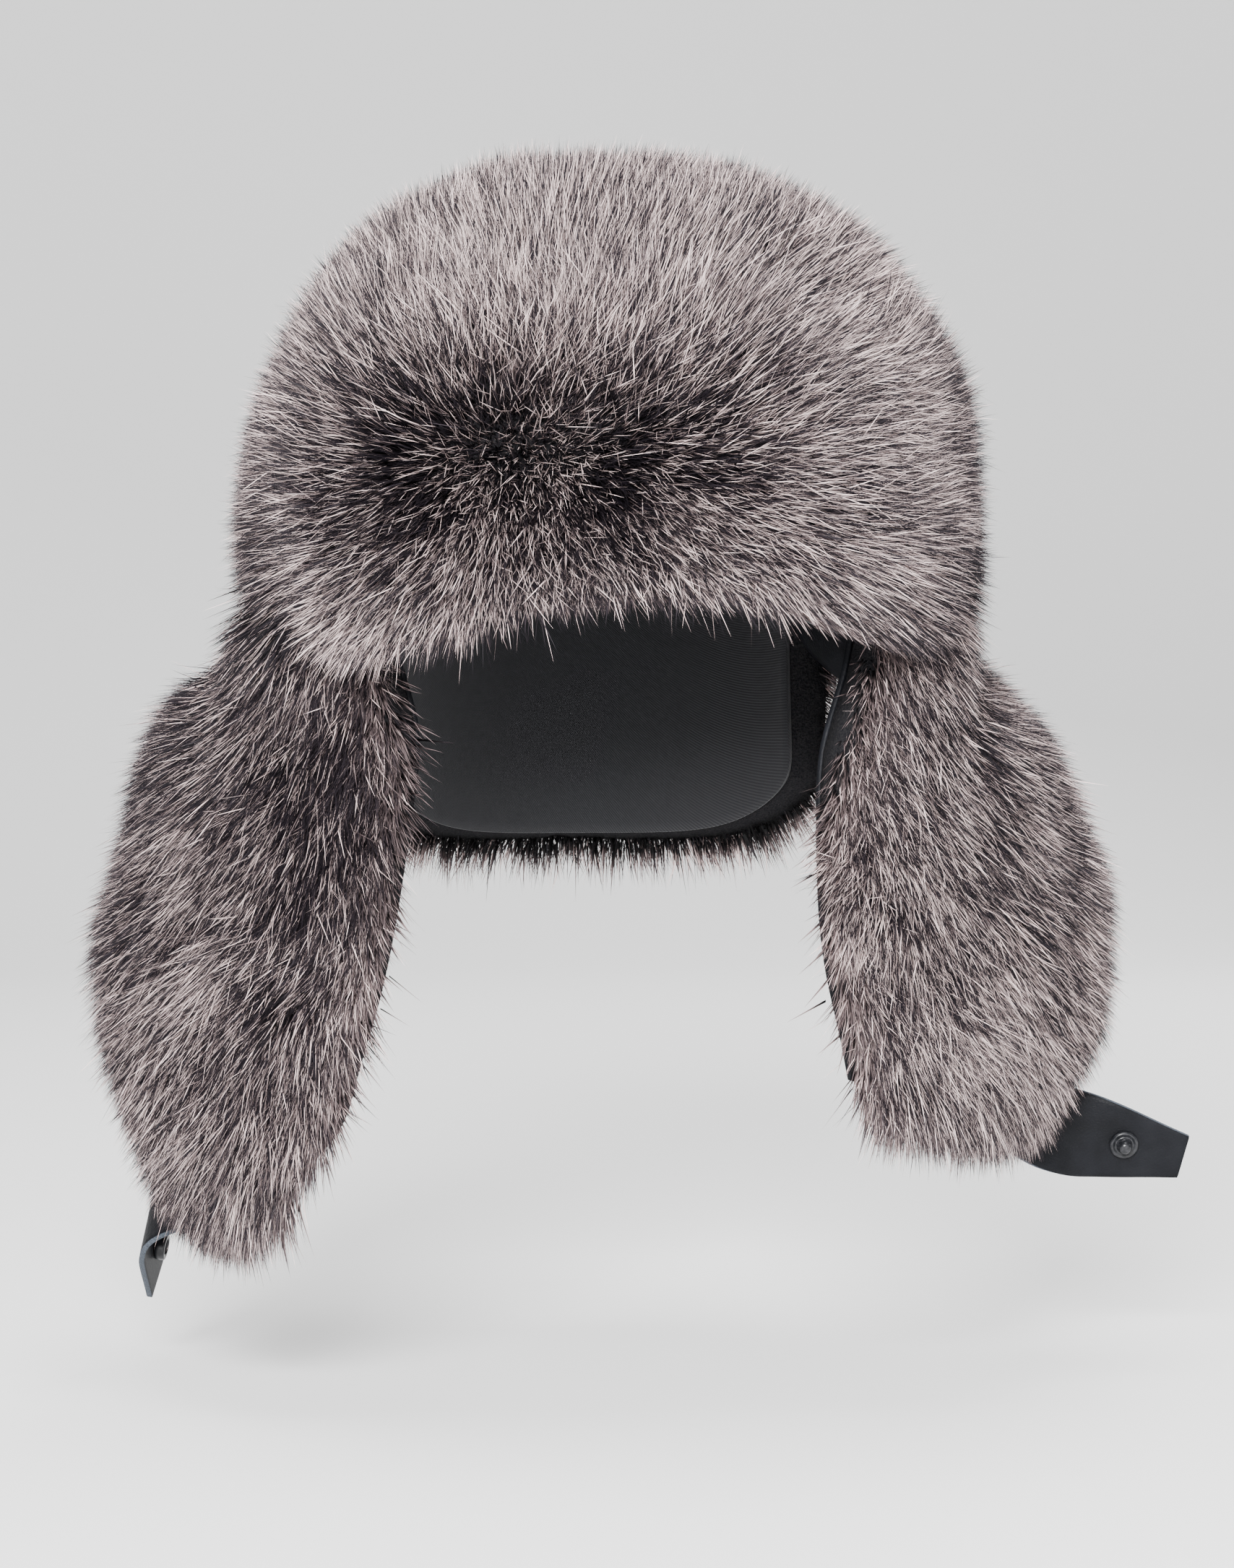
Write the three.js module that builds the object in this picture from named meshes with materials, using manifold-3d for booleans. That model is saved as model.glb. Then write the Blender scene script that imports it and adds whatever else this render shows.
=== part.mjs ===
// A fur ushanka as it hangs when it is worn with its flaps down. A lined cap carries a deep fur
// pelt, a fur forehead flap stands turned up on its front, and three flaps hang from its lower
// seam: two ear flaps, each with a leather snap tab, and a short nape flap.
// Millimetres, +Z up. The wearer looks along -Y, so the wearer's left is +X. The origin is the
// middle of the head opening at the height of the brow.
import * as THREE from "three";
import { mergeVertices } from "three/addons/utils/BufferGeometryUtils.js";
import Module from "manifold-3d";

// The hollow that the head fills
const headWidth = 168;
const headLength = 196;
const capHeight = 96; // from the brow line up to the lining
const planExponent = 2.2; // 2 is an ellipse, and more is squarer
const domeExponent = 2.8;

// Walls and pile
const liningWall = 2;
const leatherWall = 2;
const hideWall = 2.5;
const pileDepth = 38; // fur of the cap and the ear flaps, above its hide
const napePile = 27;
const layerGap = 0.3; // between a lining and the hide on it
const seamGap = 0.6; // between two sewn edges
const flapGap = 3; // between the side edges of two neighbouring flaps

// The seam round the cap, and where the flaps start and end on it
const seamHeight = 6;
const visorSpan = 56.5; // degrees each side of the middle of the brow
const earEnd = 128; // degrees from the middle of the brow
const browRise = 2; // the brow edge's height in the middle
const browDip = 18; // how far lower the brow edge is at the temples
const visorHeight = 60; // how far the forehead flap stands up the cap's wall
const visorProud = 3; // how far its fur stands in front of the cap's

// The hanging flaps
const earDrop = { left: 168, right: 198 };
const earStraight = 24; // the length below the seam in which a flap keeps to the cap's outline
const earWidth = 118; // across the flap, where it is widest
const frontCornerLift = { left: 0.03, right: 0.12 }; // share of the drop lost at a rounded corner
const rearCornerLift = 0.15;
const napeDrop = 92;
const napeFlare = 14;

// How far the fur stands past a free edge of its hide, and the share of its depth that it loses there
const browFringe = 9;
const faceFringe = 24;
const rearFringe = 26;
const lowerFringe = 23;
const napeFringe = 16;
const edgeThinning = { front: 0.4, rear: 0.1, lower: 0.25 };

// Snap tabs
const tabLength = 105;
const tabLap = 24; // the length sewn against the flap's lining
const tabGap = 0.6; // between the lap and the curved lining
const tabBase = 30;
const tabTip = 13;
const tabTaper = 0.5; // share of the free length at which the tab starts to narrow
const tabFlat = 0.62; // share of the free length past which the tab lies flat, with its snap
const tabSeat = 0.66; // where the tab's middle lies across the flap: -1 is its front edge, 1 its rear
const snapFromTip = 21;
const snapRadius = 5;
const snapFlange = 0.9;
const snapBall = 2.6;
const snapPost = 1.5;
const snapCapRise = 1.1;

// Locks of fur
const lockBase = 0.7; // share of the pile below the locks
const lockLean = 0.34; // how far a lock's tip leans over its own cell
const visorColumns = 14; // the cap's grid has the same lines behind the forehead flap
const visorRows = 5;
const crownBackColumns = 30;
const crownHighRows = 7;
const earColumns = 8;
const earRows = 14;
const napeColumns = 13;
const napeRows = 6;

// The centre that the cap's fur turns away from, in degrees and in millimetres up the wall
const whorl = { angle: -14, level: 34 };

// Each ear flap's run from front edge to rear edge, at shares of its drop. Outward lengths are
// shares of half the head's width, and lengths ahead and back are shares of half its length. The
// bulge is a share of the flap's width. The left flap is pushed up and back by the shoulder.
const earSections = {
  left: [
    { down: 0.0, frontOut: 0.84, frontAhead: 0.56, rearOut: 0.82, rearBack: 0.63, bulge: 0.12 },
    { down: 0.25, frontOut: 0.74, frontAhead: 0.61, rearOut: 1.14, rearBack: 0.6, bulge: 0.12 },
    { down: 0.5, frontOut: 0.72, frontAhead: 0.64, rearOut: 1.48, rearBack: 0.5, bulge: 0.11 },
    { down: 0.75, frontOut: 0.74, frontAhead: 0.66, rearOut: 1.68, rearBack: 0.38, bulge: 0.1 },
    { down: 1.0, frontOut: 0.84, frontAhead: 0.66, rearOut: 1.6, rearBack: 0.3, bulge: 0.07 },
  ],
  right: [
    { down: 0.0, frontOut: 0.84, frontAhead: 0.56, rearOut: 0.82, rearBack: 0.63, bulge: 0.12 },
    { down: 0.25, frontOut: 0.75, frontAhead: 0.61, rearOut: 1.14, rearBack: 0.6, bulge: 0.12 },
    { down: 0.5, frontOut: 0.81, frontAhead: 0.64, rearOut: 1.46, rearBack: 0.5, bulge: 0.11 },
    { down: 0.75, frontOut: 0.9, frontAhead: 0.65, rearOut: 1.62, rearBack: 0.38, bulge: 0.1 },
    { down: 1.0, frontOut: 1.04, frontAhead: 0.64, rearOut: 1.44, rearBack: 0.26, bulge: 0.07 },
  ],
};

// The bent stretch of each snap tab, below the lining's edge: shares of its length, and the turn
// of the tab about its own middle line. The left tab is pushed out and turned by the shoulder.
const tabBends = {
  left: [
    { along: 0, out: 0, ahead: 0, down: 0, turn: 0 },
    { along: 0.35, out: 0.07, ahead: 0, down: 0.3, turn: 2 },
    { along: 0.7, out: 0.42, ahead: 0, down: 0.54, turn: 34 },
    { along: 1, out: 0.78, ahead: 0, down: 0.63, turn: 66 },
  ],
  right: [
    { along: 0, out: 0, ahead: 0, down: 0, turn: 0 },
    { along: 0.3, out: 0.14, ahead: -0.08, down: 0.28, turn: -4 },
    { along: 0.7, out: 0.62, ahead: -0.28, down: 0.5, turn: -12 },
    { along: 1, out: 0.64, ahead: -0.46, down: 0.66, turn: -20 },
  ],
};

const halfWidth = headWidth / 2;
const halfLength = headLength / 2;
const degrees = Math.PI / 180;
const up = new THREE.Vector3(0, 0, 1);

const mix = (from, to, share) => from + (to - from) * share;

// Rises from 0 at the first value to 1 at the second, with soft ends.
function ease(value, first, second) {
  return THREE.MathUtils.smoothstep(value, first, second);
}

const signedPower = (base, exponent) => Math.sign(base) * Math.abs(base) ** exponent;

// Reads one column of a table of sections at a share between its rows, along a smooth curve.
function readTable(table, key, column, share) {
  const steps = table.length - 1;
  const found = table.findIndex((row) => row[key] >= share);
  const next = Math.min(Math.max(found < 0 ? steps : found, 1), steps);
  const [before, from, to, after] = [next - 2, next - 1, next, next + 1].map(
    (index) => table[Math.min(Math.max(index, 0), steps)][column],
  );
  const local = (share - table[next - 1][key]) / (table[next][key] - table[next - 1][key]);
  const [square, cube] = [local * local, local * local * local];
  return (
    from +
    0.5 * (to - before) * local +
    (before - 2.5 * from + 2 * to - 0.5 * after) * square +
    (1.5 * (from - to) + 0.5 * (after - before)) * cube
  );
}

// The head's outline seen from above, at an angle from the middle of the brow.
function ovalPoint(angle, share = 1) {
  const power = 2 / planExponent;
  return new THREE.Vector2(
    halfWidth * share * signedPower(Math.sin(angle * degrees), power),
    -halfLength * share * signedPower(Math.cos(angle * degrees), power),
  );
}

// The dome's side profile: how far in and how high, at even steps of length up the wall.
const profile = (() => {
  const steps = 240;
  const power = 2 / domeExponent;
  const rows = [{ level: 0, share: 1, height: 0 }];
  for (let step = 1; step <= steps; step += 1) {
    const turn = (step / steps) * (Math.PI / 2);
    const share = step === steps ? 0 : Math.cos(turn) ** power;
    const height = capHeight * Math.sin(turn) ** power;
    const last = rows[step - 1];
    const run = Math.hypot((share - last.share) * halfWidth, height - last.height);
    rows.push({ level: last.level + run, share, height });
  }
  return rows;
})();
const capArc = profile[profile.length - 1].level;

// A point of the cap's inside, at an angle and at a level: millimetres up the wall from the brow.
function capPoint(angle, level) {
  if (level <= 0) {
    const wall = ovalPoint(angle);
    return new THREE.Vector3(wall.x, wall.y, level);
  }
  const next = Math.max(1, profile.findIndex((row) => row.level >= Math.min(level, capArc)));
  const [low, high] = [profile[next - 1], profile[next]];
  const local = (Math.min(level, capArc) - low.level) / (high.level - low.level);
  const wall = ovalPoint(angle, mix(low.share, high.share, local));
  return new THREE.Vector3(wall.x, wall.y, mix(low.height, high.height, local));
}

// The unit vector across a surface, away from the head, from two short steps on it.
function normalOf(surface, first, second, stepFirst, stepSecond) {
  const alongFirst = surface(first + stepFirst, second).sub(surface(first - stepFirst, second));
  const alongSecond = surface(first, second + stepSecond).sub(surface(first, second - stepSecond));
  return alongFirst.cross(alongSecond).normalize();
}

function capLayer(angle, level, depth) {
  const safe = Math.min(level, capArc * 0.97);
  const across = normalOf(capPoint, angle, safe, 1, 1);
  across.lerp(up, ease(level, capArc * 0.9, capArc)).normalize();
  return capPoint(angle, level).addScaledVector(across, depth);
}

// The lower edge of the brow: highest in the middle, lower at the temples.
const browLevel = (angle) => browRise - browDip * ease(Math.abs(angle), 0, visorSpan);

// A closed shell between two faces over one grid. Cells rise to a lock's tip where lock() gives
// one. A shell that goes round closes on itself, and one with a top closes over its last row.
function shell({ columns, rows, round = false, inner, outer, lock = () => null, top = null }) {
  const positions = [];
  const faces = [];
  const lines = round ? columns : columns + 1;
  const put = (point) => positions.push(point.x, point.y, point.z) / 3 - 1;
  const grid = (face) =>
    Array.from({ length: lines }, (_, i) =>
      Array.from({ length: rows + 1 }, (_, j) => put(face(i, j))),
    );
  const [inside, outside] = [grid(inner), grid(outer)];
  const quad = (a, b, c, d) => faces.push(a, b, c, a, c, d);
  for (let i = 0; i < columns; i += 1) {
    const next = (i + 1) % lines;
    for (let j = 0; j < rows; j += 1) {
      const ring = [outside[i][j], outside[next][j], outside[next][j + 1], outside[i][j + 1]];
      const tip = lock(i, j);
      if (tip) {
        const apex = put(tip);
        ring.forEach((corner, k) => faces.push(corner, ring[(k + 1) % ring.length], apex));
      } else {
        quad(...ring);
      }
      quad(inside[i][j], inside[i][j + 1], inside[next][j + 1], inside[next][j]);
    }
    quad(inside[i][0], inside[next][0], outside[next][0], outside[i][0]);
    if (!top) quad(outside[i][rows], outside[next][rows], inside[next][rows], inside[i][rows]);
  }
  if (top) {
    const [insideTop, outsideTop] = [put(top.inner), put(top.outer)];
    for (let i = 0; i < columns; i += 1) {
      const next = (i + 1) % lines;
      faces.push(outside[i][rows], outside[next][rows], outsideTop);
      faces.push(inside[next][rows], inside[i][rows], insideTop);
    }
  }
  if (!round) {
    for (let j = 0; j < rows; j += 1) {
      quad(inside[0][j], outside[0][j], outside[0][j + 1], inside[0][j + 1]);
      quad(outside[columns][j], inside[columns][j], inside[columns][j + 1], outside[columns][j + 1]);
    }
  }
  const geometry = new THREE.BufferGeometry();
  geometry.setAttribute("position", new THREE.Float32BufferAttribute(positions, 3));
  geometry.setIndex(faces);
  return facingOut(geometry);
}

// Turns every face round if the solid came out inside out.
function facingOut(geometry) {
  const point = geometry.getAttribute("position");
  const index = geometry.getIndex();
  const corner = (k) => new THREE.Vector3().fromBufferAttribute(point, index.getX(k));
  let volume = 0;
  for (let k = 0; k < index.count; k += 3) {
    volume += corner(k).dot(corner(k + 1).cross(corner(k + 2)));
  }
  if (volume < 0) {
    for (let k = 0; k < index.count; k += 3) {
      const kept = index.getX(k);
      index.setX(k, index.getX(k + 1));
      index.setX(k + 1, kept);
    }
  }
  return geometry;
}

// Grid lines: a run of even steps between two values.
const evenly = (from, to, steps) =>
  Array.from({ length: steps + 1 }, (_, index) => mix(from, to, index / steps));

// The cap's grid has a pair of close lines at each edge of the forehead flap, so that the cap's
// pelt can step down to its bare hide behind that flap.
const seamAngle = seamGap / 2 / halfWidth / degrees;
const flapAngle = flapGap / 2 / halfWidth / degrees;
const capAngles = [
  ...evenly(-visorSpan + seamAngle, visorSpan - seamAngle, visorColumns),
  ...evenly(visorSpan + seamAngle, 360 - visorSpan - seamAngle, crownBackColumns),
];
const visorTop = browRise + visorHeight;
const highLevels = evenly(visorTop + seamGap / 2, capArc * 0.95, crownHighRows);
const behindVisor = (i) => i <= visorColumns;

function capLevel(i, j) {
  if (j > visorRows) return highLevels[j - visorRows - 1];
  const lowest = behindVisor(i) ? browLevel(capAngles[i]) : seamHeight + seamGap / 2;
  return mix(lowest, visorTop - seamGap / 2, j / visorRows);
}
const capGridRows = visorRows + crownHighRows + 1;

function capWall(from, depthOf) {
  return {
    columns: capAngles.length,
    rows: capGridRows,
    round: true,
    inner: (i, j) => capLayer(capAngles[i], capLevel(i, j), from),
    outer: (i, j) => capLayer(capAngles[i], capLevel(i, j), from + depthOf(i, j)),
    top: {
      inner: new THREE.Vector3(0, 0, capHeight + from),
      outer: new THREE.Vector3(0, 0, capHeight + from + depthOf(capAngles.length - 1, capGridRows)),
    },
  };
}

function crownLining() {
  return shell(capWall(0, () => liningWall));
}

// The way the hair lies on the cap: away from the whorl, as a turn and a climb of unit length.
function capFlow(angle, level) {
  const turn = ((angle + 180 - whorl.angle + 360) % 360) - 180;
  const across = turn * degrees * halfWidth;
  const climb = level - whorl.level;
  const run = Math.hypot(across, climb) || 1;
  return { across: across / run, climb: climb / run };
}

function crownFur() {
  const from = liningWall + layerGap;
  const full = hideWall + pileDepth;
  const bare = (i, j) => behindVisor(i) && j <= visorRows;
  const depthOf = (i, j) => (bare(i, j) ? hideWall : hideWall + pileDepth * lockBase);
  const lock = (i, j) => {
    const next = (i + 1) % capAngles.length;
    const step = j === visorRows || i === visorColumns || next === 0;
    if (step || bare(i, j)) return null;
    const [low, high] = [capLevel(i, j), capLevel(i, j + 1)];
    const width = (capAngles[next] - capAngles[i] + 360) % 360;
    const middle = { angle: capAngles[i] + width / 2, level: (low + high) / 2 };
    const flow = capFlow(middle.angle, middle.level);
    return capLayer(
      middle.angle + flow.across * lockLean * width,
      middle.level + flow.climb * lockLean * (high - low),
      from + full,
    );
  };
  return shell({ ...capWall(from, depthOf), lock });
}

// A pelt on its own run of the surface, with fur that stands past its free edges.
function pelt({ columns, rows, layer, from, pile, flow }) {
  const share = (index, count) => (index / count) * 2 - 1;
  return shell({
    columns,
    rows,
    inner: (i, j) => layer(share(i, columns), j / rows, from, 0),
    outer: (i, j) => layer(share(i, columns), j / rows, from + hideWall + pile * lockBase, lockBase),
    lock: (i, j) => {
      const [across, along] = [share(i + 0.5, columns), (j + 0.5) / rows];
      const lean = flow(across, along);
      return layer(
        across + (lean.across * lockLean * 2) / columns,
        along + (lean.along * lockLean) / rows,
        from + hideWall + pile,
        1,
      );
    },
  });
}

// The forehead flap, over the cap's hide. Across runs from -1 to 1, and along goes up from 0 to 1.
// Spread is the share of the fringe by which the point stands past the brow edge.
function visorLayer(across, along, depth, spread) {
  const angle = across * (visorSpan - seamAngle);
  const lowest = browLevel(angle);
  const level = mix(lowest, visorTop - seamGap / 2, along);
  const fringe = browFringe * spread * (1 - along) ** 4;
  return capLayer(angle, level - fringe, depth);
}

function visorFur() {
  return pelt({
    columns: visorColumns,
    rows: visorRows,
    layer: visorLayer,
    from: liningWall + hideWall + layerGap * 2,
    pile: pileDepth - hideWall - layerGap + visorProud,
    flow: (across, along) => {
      const lean = capFlow(across * visorSpan, along * visorHeight);
      return { across: lean.across, along: lean.climb };
    },
  });
}

// A point of an ear flap's inside face. Across runs from -1 at the front edge to 1 at the rear,
// and down from 0 at the seam to 1 at the lower edge.
function earPoint(side, across, down) {
  const lift = (across < 0 ? frontCornerLift[side] : rearCornerLift) * Math.abs(across) ** 2.5;
  const height = seamHeight - seamGap / 2 - earDrop[side] * down * (1 - lift);
  const seam = ovalPoint(mix(visorSpan + flapAngle, earEnd - flapAngle, (across + 1) / 2));
  const column = (name) => readTable(earSections[side], "down", name, down);
  const halfway = (across + 1) / 2;
  const bulge = column("bulge") * earWidth * (1 - across * across);
  const out = mix(column("frontOut"), column("rearOut"), halfway) * halfWidth + bulge;
  const back = mix(-column("frontAhead"), column("rearBack"), halfway) * halfLength;
  const settle = ease(down * earDrop[side], earStraight * 0.7, earStraight * 2.8);
  const sign = side === "left" ? 1 : -1;
  return new THREE.Vector3(mix(seam.x, out, settle) * sign, mix(seam.y, back, settle), height);
}

// The same flap at a depth from its inside face. Near the seam the layers stay level, so that
// they meet the cap's edge to edge.
function earLayer(side, across, down, depth, spread) {
  const surface = (first, second) => earPoint(side, first, second);
  const outward = normalOf(surface, across, down, 0.02, 0.01);
  if (outward.x * (side === "left" ? 1 : -1) < 0) outward.negate();
  outward.z *= ease(down, 0, 0.3);
  outward.normalize();
  const alongEdge = surface(across + 0.02, down).sub(surface(across - 0.02, down)).normalize();
  const downward = surface(across, down + 0.01).sub(surface(across, down - 0.01)).normalize();
  const clear = ease(down, 0.2, 0.5);
  const [nearSide, nearEnd] = [clear * across ** 4, down ** 5];
  const sideways = across < 0 ? -faceFringe * nearSide : rearFringe * nearSide;
  const sideThinning = across < 0 ? edgeThinning.front : edgeThinning.rear;
  const thinning = 1 - spread * Math.max(sideThinning * nearSide, edgeThinning.lower * nearEnd);
  return surface(across, down)
    .addScaledVector(outward, depth * thinning)
    .addScaledVector(alongEdge, sideways * spread)
    .addScaledVector(downward, lowerFringe * spread * nearEnd);
}

const earWall = (side, from, wall) => ({
  columns: earColumns,
  rows: earRows,
  inner: (i, j) => earLayer(side, (i / earColumns) * 2 - 1, j / earRows, from, 0),
  outer: (i, j) => earLayer(side, (i / earColumns) * 2 - 1, j / earRows, from + wall, 0),
});

function earFur(side) {
  return pelt({
    columns: earColumns,
    rows: earRows,
    layer: (across, down, depth, spread) => earLayer(side, across, down, depth, spread),
    from: leatherWall + layerGap,
    pile: pileDepth,
    flow: (across) => ({ across: across * 0.7, along: 0.9 }),
  });
}

// The nape flap, under the back of the cap. Across runs from -1 to 1 and down from 0 to 1.
function napePoint(across, down) {
  const angle = 180 + across * (180 - earEnd - flapAngle);
  const round = 1 - 0.22 * Math.abs(across) ** 4;
  const wall = ovalPoint(angle);
  const flare = napeFlare * down * down;
  const away = new THREE.Vector2(wall.x, wall.y).normalize();
  return new THREE.Vector3(
    wall.x + away.x * flare * 0.3,
    wall.y + away.y * flare,
    seamHeight - seamGap / 2 - napeDrop * down * round,
  );
}

function napeLayer(across, down, depth, spread) {
  const outward = normalOf(napePoint, across, down, 0.02, 0.01);
  if (outward.y < 0) outward.negate();
  outward.z *= ease(down, 0, 0.4);
  outward.normalize();
  const downward = napePoint(across, down + 0.01).sub(napePoint(across, down - 0.01)).normalize();
  return napePoint(across, down)
    .addScaledVector(outward, depth)
    .addScaledVector(downward, napeFringe * spread * down ** 4);
}

function napeLining() {
  const share = (i) => (i / napeColumns) * 2 - 1;
  return shell({
    columns: napeColumns,
    rows: napeRows,
    inner: (i, j) => napeLayer(share(i), j / napeRows, 0, 0),
    outer: (i, j) => napeLayer(share(i), j / napeRows, liningWall, 0),
  });
}

function napeFur() {
  return pelt({
    columns: napeColumns,
    rows: napeRows,
    layer: napeLayer,
    from: liningWall + layerGap,
    pile: napePile,
    flow: (across) => ({ across: across * 0.4, along: 1 }),
  });
}

// A snap tab's middle point past the lining's edge, with its run, width and face directions. Along
// goes from 0 at the flap's lower edge to 1 at the tab's tip.
function tabFrame(side, along) {
  const edge = (across) => earLayer(side, across, 1, -tabGap - leatherWall / 2, 0);
  const level = edge(tabSeat + 0.05).sub(edge(tabSeat - 0.05)).normalize();
  const free = tabLength - tabLap;
  const bent = Math.min(along / tabFlat, 1);
  const column = (name, share) => readTable(tabBends[side], "along", name, share);
  const offset = (share) => {
    const length = free * tabFlat;
    const sideways = side === "left" ? length : -length;
    const [out, ahead, down] = ["out", "ahead", "down"].map((name) => column(name, share));
    return new THREE.Vector3(out * sideways, -ahead * length, -down * length);
  };
  const run = offset(Math.min(bent + 0.02, 1)).sub(offset(Math.max(bent - 0.02, 0))).normalize();
  const turn = column("turn", bent) * degrees * (side === "left" ? 1 : -1);
  const wide = level.applyAxisAngle(run, turn);
  wide.addScaledVector(run, -wide.dot(run)).normalize();
  const at = edge(tabSeat).add(offset(bent)).addScaledVector(run, free * Math.max(along - tabFlat, 0));
  return { at, wide, face: wide.clone().cross(run).normalize() };
}

// A point of the tab: its lap follows the inside of the lining, and its free end its own bends.
function tabPoint(side, acrossTab, length, faceShare) {
  const along = Math.max(0, (length - tabLap) / (tabLength - tabLap));
  const width = mix(tabBase, tabTip, ease(along, tabTaper, 1.15));
  const lowerWidth = earLayer(side, 1, 1, 0, 0).distanceTo(earLayer(side, -1, 1, 0, 0));
  const across = tabSeat + (acrossTab * 2 * tabBase) / lowerWidth;
  const inside = -tabGap - leatherWall * (0.5 + faceShare / 2);
  const down = 1 - Math.max(0, tabLap - length) / earDrop[side];
  const lap = earLayer(side, across, down, inside, 0);
  if (along === 0) return lap;
  const frame = tabFrame(side, along);
  const start = tabFrame(side, 0);
  const towardsHead = earLayer(side, tabSeat, 1, -1, 0).sub(earLayer(side, tabSeat, 1, 0, 0));
  const facing = Math.sign(start.face.dot(towardsHead));
  const point = frame.at
    .addScaledVector(frame.wide, acrossTab * width)
    .addScaledVector(frame.face, (facing * faceShare * leatherWall) / 2);
  return lap.lerp(point, ease(along, 0, 0.3));
}

const tabColumns = 4;
const tabLapRows = 2;
const tabFreeRows = 11;

function tabBlank(side) {
  const lengths = [...evenly(0, tabLap, tabLapRows), ...evenly(tabLap, tabLength, tabFreeRows).slice(1)];
  return shell({
    columns: tabColumns,
    rows: lengths.length - 1,
    inner: (i, j) => tabPoint(side, i / tabColumns - 0.5, lengths[j], 1),
    outer: (i, j) => tabPoint(side, i / tabColumns - 0.5, lengths[j], -1),
  });
}

// Joins and cuts, on closed meshes
const wasm = await Module();
wasm.setup();

function toManifold(geometry) {
  const bare = new THREE.BufferGeometry();
  bare.setAttribute("position", geometry.getAttribute("position"));
  bare.setIndex(geometry.getIndex());
  const merged = mergeVertices(bare, 1e-4);
  return new wasm.Manifold(
    new wasm.Mesh({
      numProp: 3,
      vertProperties: new Float32Array(merged.getAttribute("position").array),
      triVerts: new Uint32Array(merged.getIndex().array),
    }),
  );
}

function fromManifold(solid) {
  const mesh = solid.getMesh();
  const geometry = new THREE.BufferGeometry();
  geometry.setAttribute("position", new THREE.Float32BufferAttribute(mesh.vertProperties, 3));
  geometry.setIndex(Array.from(mesh.triVerts));
  return geometry;
}

// Turns a shape made about its own Y axis so that it stands on a tab's face, at the snap.
function seatSnap(geometry, side) {
  const frame = tabFrame(side, 1 - snapFromTip / (tabLength - tabLap));
  const turn = new THREE.Quaternion().setFromUnitVectors(new THREE.Vector3(0, 1, 0), snapSide(side, frame));
  return geometry.applyQuaternion(turn).translate(frame.at.x, frame.at.y, frame.at.z);
}

// The side of the tab that shows: ahead on the left tab, and towards the other flap on the right.
function snapSide(side, frame) {
  const wanted = side === "left" ? new THREE.Vector3(0, -1, 0) : new THREE.Vector3(1, 0, 0);
  return frame.face.dot(wanted) < 0 ? frame.face.clone().negate() : frame.face.clone();
}

function snapTab(side) {
  const hole = new THREE.CylinderGeometry(snapPost + layerGap, snapPost + layerGap, leatherWall * 4, 16);
  return fromManifold(toManifold(tabBlank(side)).subtract(toManifold(seatSnap(hole, side))));
}

// A snap half, turned about its own axis: a face part, a post through the tab and a rear cap.
function snapHalf(side, faceProfile) {
  const seat = leatherWall / 2 + layerGap;
  const points = [
    [0, -seat - snapCapRise],
    [snapRadius * 0.7, -seat - snapCapRise * 0.8],
    [snapRadius, -seat - snapCapRise * 0.25],
    [snapRadius, -seat],
    [snapPost, -seat],
    [snapPost, seat],
    ...faceProfile.map(([radius, height]) => [radius, seat + height]),
  ].map(([radius, height]) => new THREE.Vector2(radius, height));
  return seatSnap(new THREE.LatheGeometry(points, 16), side);
}

// The ball half: a flange with a raised rim, and a ball in the middle.
const snapStud = () =>
  snapHalf("left", [
    [snapRadius * 0.9, 0],
    [snapRadius, snapFlange * 0.6],
    [snapRadius * 0.86, snapFlange * 1.3],
    [snapBall * 1.15, snapFlange * 0.7],
    [snapBall * 0.8, snapFlange + snapBall * 0.35],
    [snapBall, snapFlange + snapBall * 0.8],
    [snapBall * 0.7, snapFlange + snapBall * 1.35],
    [0, snapFlange + snapBall * 1.5],
  ]);

// The socket half: a thick ring with a cup in the middle.
const snapSocket = () =>
  snapHalf("right", [
    [snapRadius * 0.9, 0],
    [snapRadius, snapFlange],
    [snapRadius * 0.9, snapFlange + snapBall],
    [snapBall * 1.15, snapFlange + snapBall],
    [snapBall * 1.1, snapFlange],
    [0, snapFlange],
  ]);

const finish = (color, roughness, metalness = 0) =>
  new THREE.MeshStandardMaterial({ color, roughness, metalness, flatShading: true });
const fur = finish(0x8d8684, 0.9);
const leather = finish(0x17181c, 0.55);
const cloth = finish(0x1d1d20, 0.85);
const metal = finish(0x16171a, 0.3, 0.7);

const ushanka = new THREE.Group();
function add(name, geometry, material) {
  const mesh = new THREE.Mesh(geometry, material);
  mesh.name = name;
  ushanka.add(mesh);
}

add("crown_lining", crownLining(), cloth);
add("crown_fur", crownFur(), fur);
add("forehead_flap_fur", visorFur(), fur);
for (const side of ["left", "right"]) {
  add(`ear_flap_lining_${side}`, shell(earWall(side, 0, leatherWall)), leather);
  add(`ear_flap_fur_${side}`, earFur(side), fur);
  add(`snap_tab_${side}`, snapTab(side), leather);
}
add("nape_flap_lining", napeLining(), cloth);
add("nape_flap_fur", napeFur(), fur);
add("snap_stud", snapStud(), metal);
add("snap_socket", snapSocket(), metal);

export default ushanka;
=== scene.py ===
"""Dresses a fur ushanka: its deep pelts, leather flaps and tabs, cloth linings and snap."""

import logging
import math
from dataclasses import dataclass
from enum import Enum
from typing import Callable, Iterable

import bmesh
import bpy
import numpy as np
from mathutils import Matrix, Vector
from mathutils.bvhtree import BVHTree
from mathutils.kdtree import KDTree


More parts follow.
